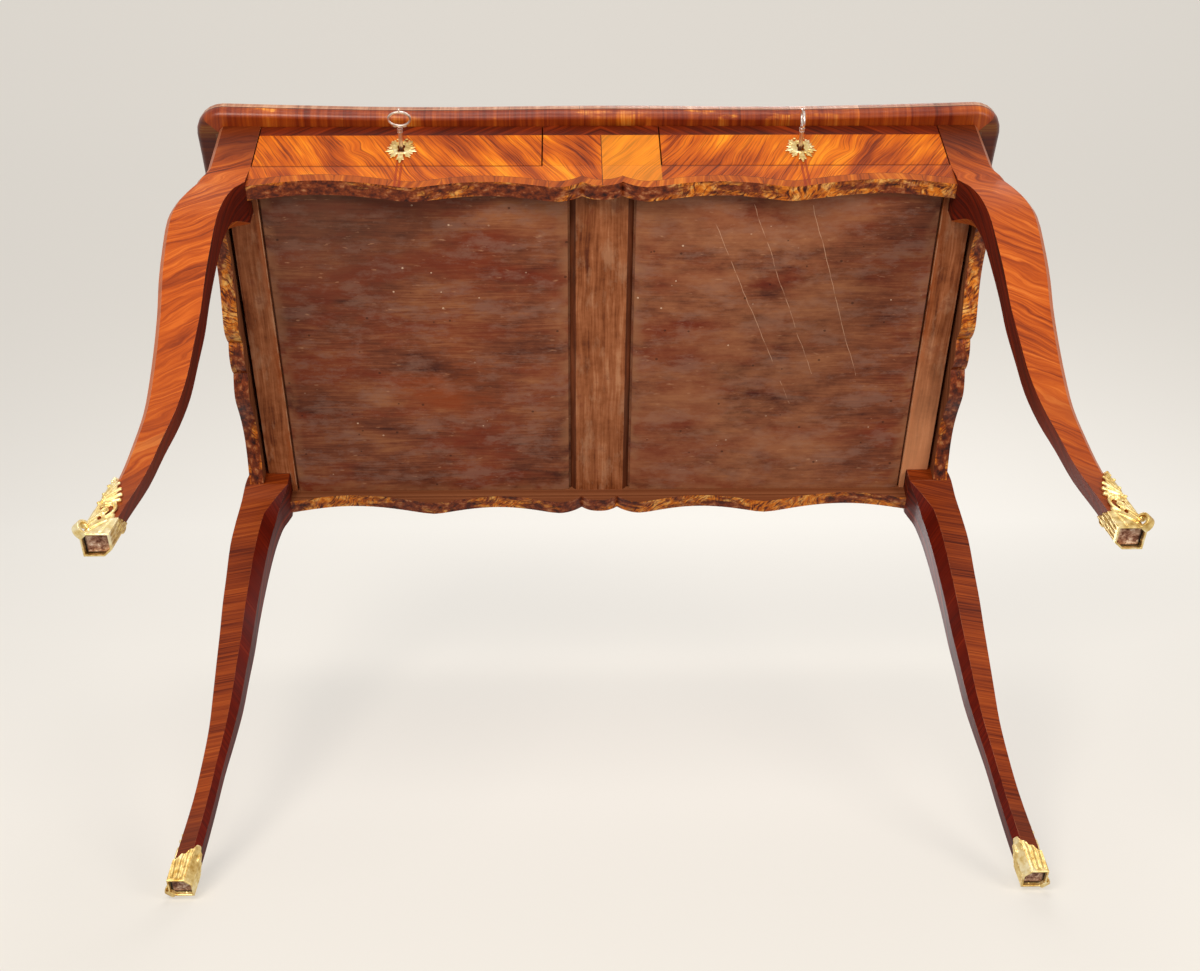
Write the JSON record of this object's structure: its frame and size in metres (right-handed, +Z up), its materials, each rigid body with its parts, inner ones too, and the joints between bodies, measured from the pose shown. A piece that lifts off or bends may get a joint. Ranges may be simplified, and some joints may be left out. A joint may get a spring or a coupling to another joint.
{
  "type": "writing table",
  "caption": "Rococo bureau plat on cabriole legs, with two keyed drawers, gilt bronze feet and an open, unfinished underside.",
  "frame": {"origin": "on the floor, below the centre of the whole piece with its two keys in place", "axes": "+X to the right of someone sitting at the table, -Y towards the drawer side, +Z up"},
  "size_m": [0.98, 0.5746, 0.768],
  "materials": {
    "veneer": "french polished veneer",
    "drawer_veneer": "french polished veneer, bookmatched",
    "leg_veneer": "polished crossbanded veneer",
    "raw_rail": "bare old wood",
    "raw_panel": "bare stained wood",
    "drawer_oak": "bare wood",
    "leather": "tooled writing leather",
    "gilt_bronze": "gilt, burnished",
    "lock_brass": "dull",
    "lock_steel": "worn",
    "key_steel": "polished by use"
  },
  "bodies": {
    "carcass": {"top_board": "veneer", "writing_leather": "leather", "front_apron": "veneer", "centre_stile": "drawer_veneer", "rear_apron": "veneer", "left_apron": "veneer", "right_apron": "veneer", "front_left_leg": "leg_veneer", "front_right_leg": "leg_veneer", "rear_left_leg": "leg_veneer", "rear_right_leg": "leg_veneer", "front_left_sabot": "gilt_bronze", "front_right_sabot": "gilt_bronze", "rear_left_sabot": "gilt_bronze", "rear_right_sabot": "gilt_bronze", "sabot_pins": "gilt_bronze", "centre_muntin": "raw_rail", "left_side_rail": "raw_rail", "right_side_rail": "raw_rail", "left_dust_panel": "raw_panel", "right_dust_panel": "raw_panel", "drawer_runners": "drawer_oak", "drawer_guides": "drawer_oak", "drawer_stops": "drawer_oak", "kickers": "drawer_oak", "top_screws": "lock_steel", "glue_blocks": "drawer_oak"},
    "left_drawer": {"left_drawer_front": "drawer_veneer", "left_drawer_sides": "drawer_oak", "left_drawer_back": "drawer_oak", "left_drawer_bottom": "drawer_oak", "left_escutcheon": "gilt_bronze", "left_escutcheon_pins": "gilt_bronze", "left_lock_case": "lock_brass", "left_lock_screws": "lock_steel"},
    "left_lock_bolt": {"left_lock_bolt": "lock_steel"},
    "left_key": {"left_key": "key_steel"},
    "right_drawer": {"right_drawer_front": "drawer_veneer", "right_drawer_sides": "drawer_oak", "right_drawer_back": "drawer_oak", "right_drawer_bottom": "drawer_oak", "right_escutcheon": "gilt_bronze", "right_escutcheon_pins": "gilt_bronze", "right_lock_case": "lock_brass", "right_lock_screws": "lock_steel"},
    "right_lock_bolt": {"right_lock_bolt": "lock_steel"},
    "right_key": {"right_key": "key_steel"}
  },
  "joints": [
    {"name": "left_drawer_slide", "type": "slide", "parent": "carcass", "child": "left_drawer", "axis": [0, -1, 0], "range_m": [0, 0.3]},
    {"name": "left_key_turn", "type": "hinge", "parent": "left_drawer", "child": "left_key", "pos_m": [-0.237, -0.23275, 0.69], "axis": [0, 1, 0], "range_deg": [0, 90]},
    {"name": "left_bolt_slide", "type": "slide", "parent": "left_drawer", "child": "left_lock_bolt", "axis": [0, 0, 1], "range_m": [0, 0.008]},
    {"name": "right_drawer_slide", "type": "slide", "parent": "carcass", "child": "right_drawer", "axis": [0, -1, 0], "range_m": [0, 0.3]},
    {"name": "right_key_turn", "type": "hinge", "parent": "right_drawer", "child": "right_key", "pos_m": [0.237, -0.23275, 0.69], "axis": [0, 1, 0], "range_deg": [0, 180]},
    {"name": "right_bolt_slide", "type": "slide", "parent": "right_drawer", "child": "right_lock_bolt", "axis": [0, 0, 1], "range_m": [0, 0.008]}
  ],
  "couplings": [
    {"joint": "left_key_turn", "follows": "left_bolt_slide", "rad_per_m": 196.35},
    {"joint": "right_key_turn", "follows": "right_bolt_slide", "rad_per_m": 392.7}
  ]
}
